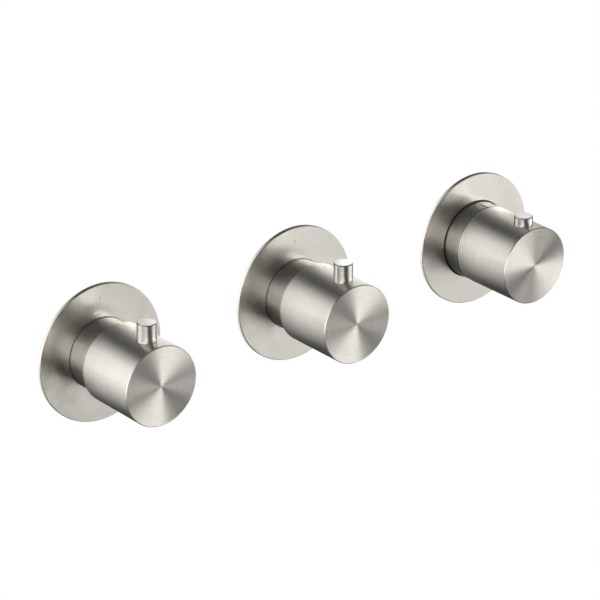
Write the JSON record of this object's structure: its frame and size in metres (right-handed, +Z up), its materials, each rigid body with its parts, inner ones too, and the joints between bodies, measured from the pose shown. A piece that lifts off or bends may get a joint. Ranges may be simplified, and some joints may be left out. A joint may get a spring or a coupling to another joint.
{
  "type": "thermostatic shower valve",
  "caption": "Concealed thermostatic shower valve with round knobs on round roses, stop valves with levers and a temperature knob with an override button.",
  "frame": {"origin": "on the finished wall, on the middle handle's axis", "axes": "+X to the right as seen from the room, +Y into the wall, +Z up"},
  "size_m": [0.313, 0.126, 0.098],
  "materials": {
    "brushed_nickel": "warm brushed nickel on solid metal, turned on knobs and faces",
    "cast_brass": "sand cast and shot blasted brass with machined ends",
    "turned_brass": "bright turned brass",
    "zinc_steel": "zinc plated steel sheet",
    "black_rubber": "moulded black rubber",
    "grey_foam": "closed cell foam",
    "white_ceramic": "lapped white ceramic",
    "pale_plastic": "moulded pale plastic",
    "spring_steel": "drawn stainless wire and sheet",
    "copper": "drawn copper"
  },
  "bodies": {
    "valve": {"left_valve_body": "cast_brass", "middle_valve_body": "cast_brass", "thermostat_body": "cast_brass", "left_link_tube": "copper", "right_link_tube": "copper", "mounting_rail": "zinc_steel", "rail_screws": "zinc_steel", "leg_plugs": "turned_brass", "port_seals": "black_rubber", "hot_check_housing": "pale_plastic", "cold_check_housing": "pale_plastic", "inlet_strainers": "spring_steel", "left_rose": "brushed_nickel", "middle_rose": "brushed_nickel", "temperature_rose": "brushed_nickel", "rose_gaskets": "grey_foam", "rose_grip_rings": "black_rubber", "left_sleeve": "brushed_nickel", "middle_sleeve": "brushed_nickel", "temperature_sleeve": "brushed_nickel", "left_cartridge_housing": "turned_brass", "middle_cartridge_housing": "turned_brass", "fixed_discs": "white_ceramic", "cartridge_seals": "black_rubber", "thermostat_housing": "turned_brass", "thermostat_seals": "black_rubber", "thermostat_end_cap": "turned_brass", "temperature_stop_ring": "pale_plastic", "shuttle_return_spring": "spring_steel", "hot_check_spring": "spring_steel", "cold_check_spring": "spring_steel"},
    "left_handle": {"left_knob": "brushed_nickel", "left_lever": "brushed_nickel", "left_grub_screw": "spring_steel", "left_spline_adaptor": "pale_plastic", "left_spindle": "turned_brass", "left_moving_disc": "white_ceramic", "left_spindle_clip": "spring_steel"},
    "middle_handle": {"middle_knob": "brushed_nickel", "middle_lever": "brushed_nickel", "middle_grub_screw": "spring_steel", "middle_spline_adaptor": "pale_plastic", "middle_spindle": "turned_brass", "middle_moving_disc": "white_ceramic", "middle_spindle_clip": "spring_steel"},
    "temperature_handle": {"temperature_knob": "brushed_nickel", "temperature_grub_screw": "spring_steel", "temperature_spline_adaptor": "pale_plastic", "temperature_spindle": "turned_brass", "override_spring": "spring_steel"},
    "override": {"override_button": "brushed_nickel"},
    "shuttle": {"lift_nut": "turned_brass", "overload_spring": "spring_steel", "overload_pusher": "spring_steel", "wax_element": "copper", "mixing_shuttle": "pale_plastic", "shuttle_seal": "black_rubber"},
    "hot_check": {"hot_check_poppet": "pale_plastic"},
    "cold_check": {"cold_check_poppet": "pale_plastic"}
  },
  "joints": [
    {"name": "left_turn", "type": "hinge", "parent": "valve", "child": "left_handle", "pos_m": [-0.117, 0, 0], "axis": [0, -1, 0], "range_deg": [0, 90]},
    {"name": "middle_turn", "type": "hinge", "parent": "valve", "child": "middle_handle", "pos_m": [0, 0, 0], "axis": [0, -1, 0], "range_deg": [0, 90]},
    {"name": "temperature_turn", "type": "hinge", "parent": "valve", "child": "temperature_handle", "pos_m": [0.117, 0, 0], "axis": [0, -1, 0], "range_deg": [-180, 50]},
    {"name": "override_press", "type": "slide", "parent": "temperature_handle", "child": "override", "axis": [0, 0, -1], "range_m": [0, 0.003], "stiffness_N_per_m": 800, "springref_m": -0.003, "deforming": ["override_spring"]},
    {"name": "shuttle_shift", "type": "slide", "parent": "valve", "child": "shuttle", "axis": [0, 1, 0], "range_m": [-0.00076, 0.00022], "deforming": ["shuttle_return_spring"]},
    {"name": "hot_check_lift", "type": "slide", "parent": "valve", "child": "hot_check", "axis": [0, 0, 1], "range_m": [0, 0.003], "stiffness_N_per_m": 50, "springref_m": -0.006, "deforming": ["hot_check_spring"]},
    {"name": "cold_check_lift", "type": "slide", "parent": "valve", "child": "cold_check", "axis": [0, 0, 1], "range_m": [0, 0.003], "stiffness_N_per_m": 50, "springref_m": -0.006, "deforming": ["cold_check_spring"]}
  ],
  "couplings": [
    {"joint": "shuttle_shift", "follows": "temperature_turn", "m_per_rad": 0.00023873}
  ]
}
